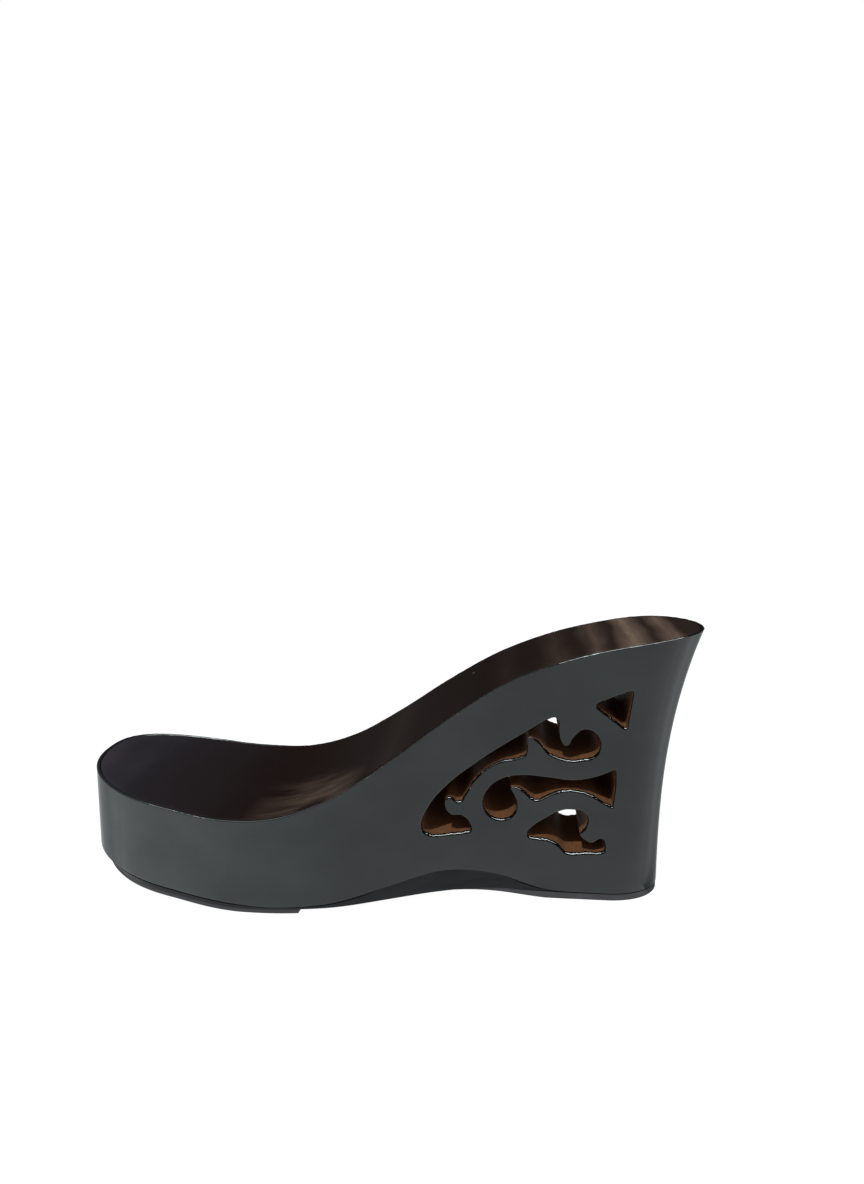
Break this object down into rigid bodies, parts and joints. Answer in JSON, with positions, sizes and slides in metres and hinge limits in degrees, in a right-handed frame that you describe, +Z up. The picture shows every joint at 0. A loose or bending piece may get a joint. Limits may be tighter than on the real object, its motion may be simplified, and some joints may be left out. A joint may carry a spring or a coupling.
{
  "type": "wedge shoe sole unit",
  "caption": "Left wedge shoe sole unit: a gloss black platform wedge with scroll cut-outs through its heel, a footbed, and thin rubber under forefoot and heel. It stands on its sole.",
  "frame": {"origin": "on the floor, under the middle of the whole unit's box", "axes": "+X from toe to heel, +Y to the inner side of the foot, +Z up"},
  "size_m": [0.234, 0.082, 0.1011],
  "materials": {
    "lacquered_block": "black lacquer, mirror gloss, brown inside the cut-outs",
    "footbed_leather": "dark brown, satin",
    "sole_rubber": "blue-black, matt"
  },
  "bodies": {
    "root": {"wedge_body": "lacquered_block", "footbed": "footbed_leather", "forefoot_tread": "sole_rubber", "heel_lift": "sole_rubber"}
  },
  "joints": []
}
